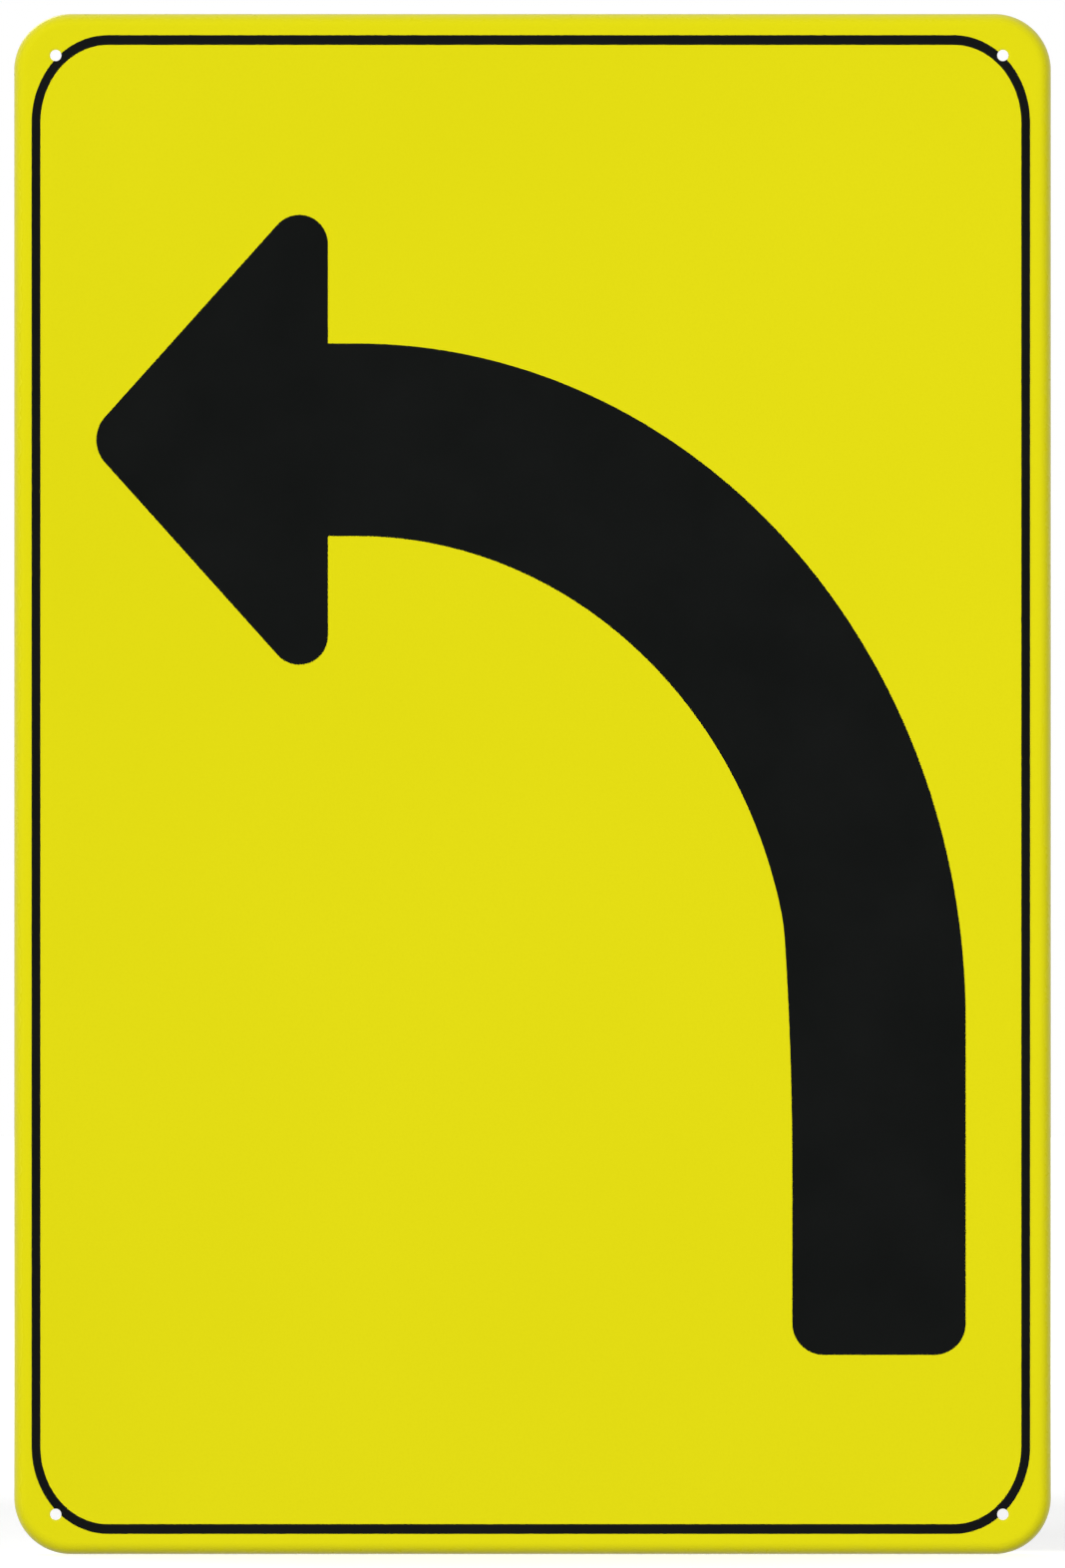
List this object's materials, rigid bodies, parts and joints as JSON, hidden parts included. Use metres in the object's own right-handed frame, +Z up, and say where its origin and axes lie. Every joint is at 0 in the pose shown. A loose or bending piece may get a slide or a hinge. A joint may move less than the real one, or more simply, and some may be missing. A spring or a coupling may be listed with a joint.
{
  "type": "bent arrow sign",
  "caption": "Portrait sheet-steel wall sign with a rolled edge and corner nail holes, yellow with a black border line and a black arrow that rises and bends left.",
  "frame": {"origin": "on the wall plane, at the middle of the hem's flat back, behind the middle of the face", "axes": "+X to the reader's right, +Y into the wall, +Z up; the face looks along -Y"},
  "size_m": [0.202, 0.0037, 0.3],
  "materials": {
    "steel_sheet": "bright tinplate with fine rolling grain",
    "white_ground": "satin white ground coat",
    "yellow_paint": "smooth semi-gloss yellow coat",
    "black_ink": "satin black print"
  },
  "bodies": {
    "root": {"base_sheet": "steel_sheet", "ground_coat": "white_ground", "yellow_coat": "yellow_paint", "border_line": "black_ink", "arrow": "black_ink"}
  },
  "joints": []
}
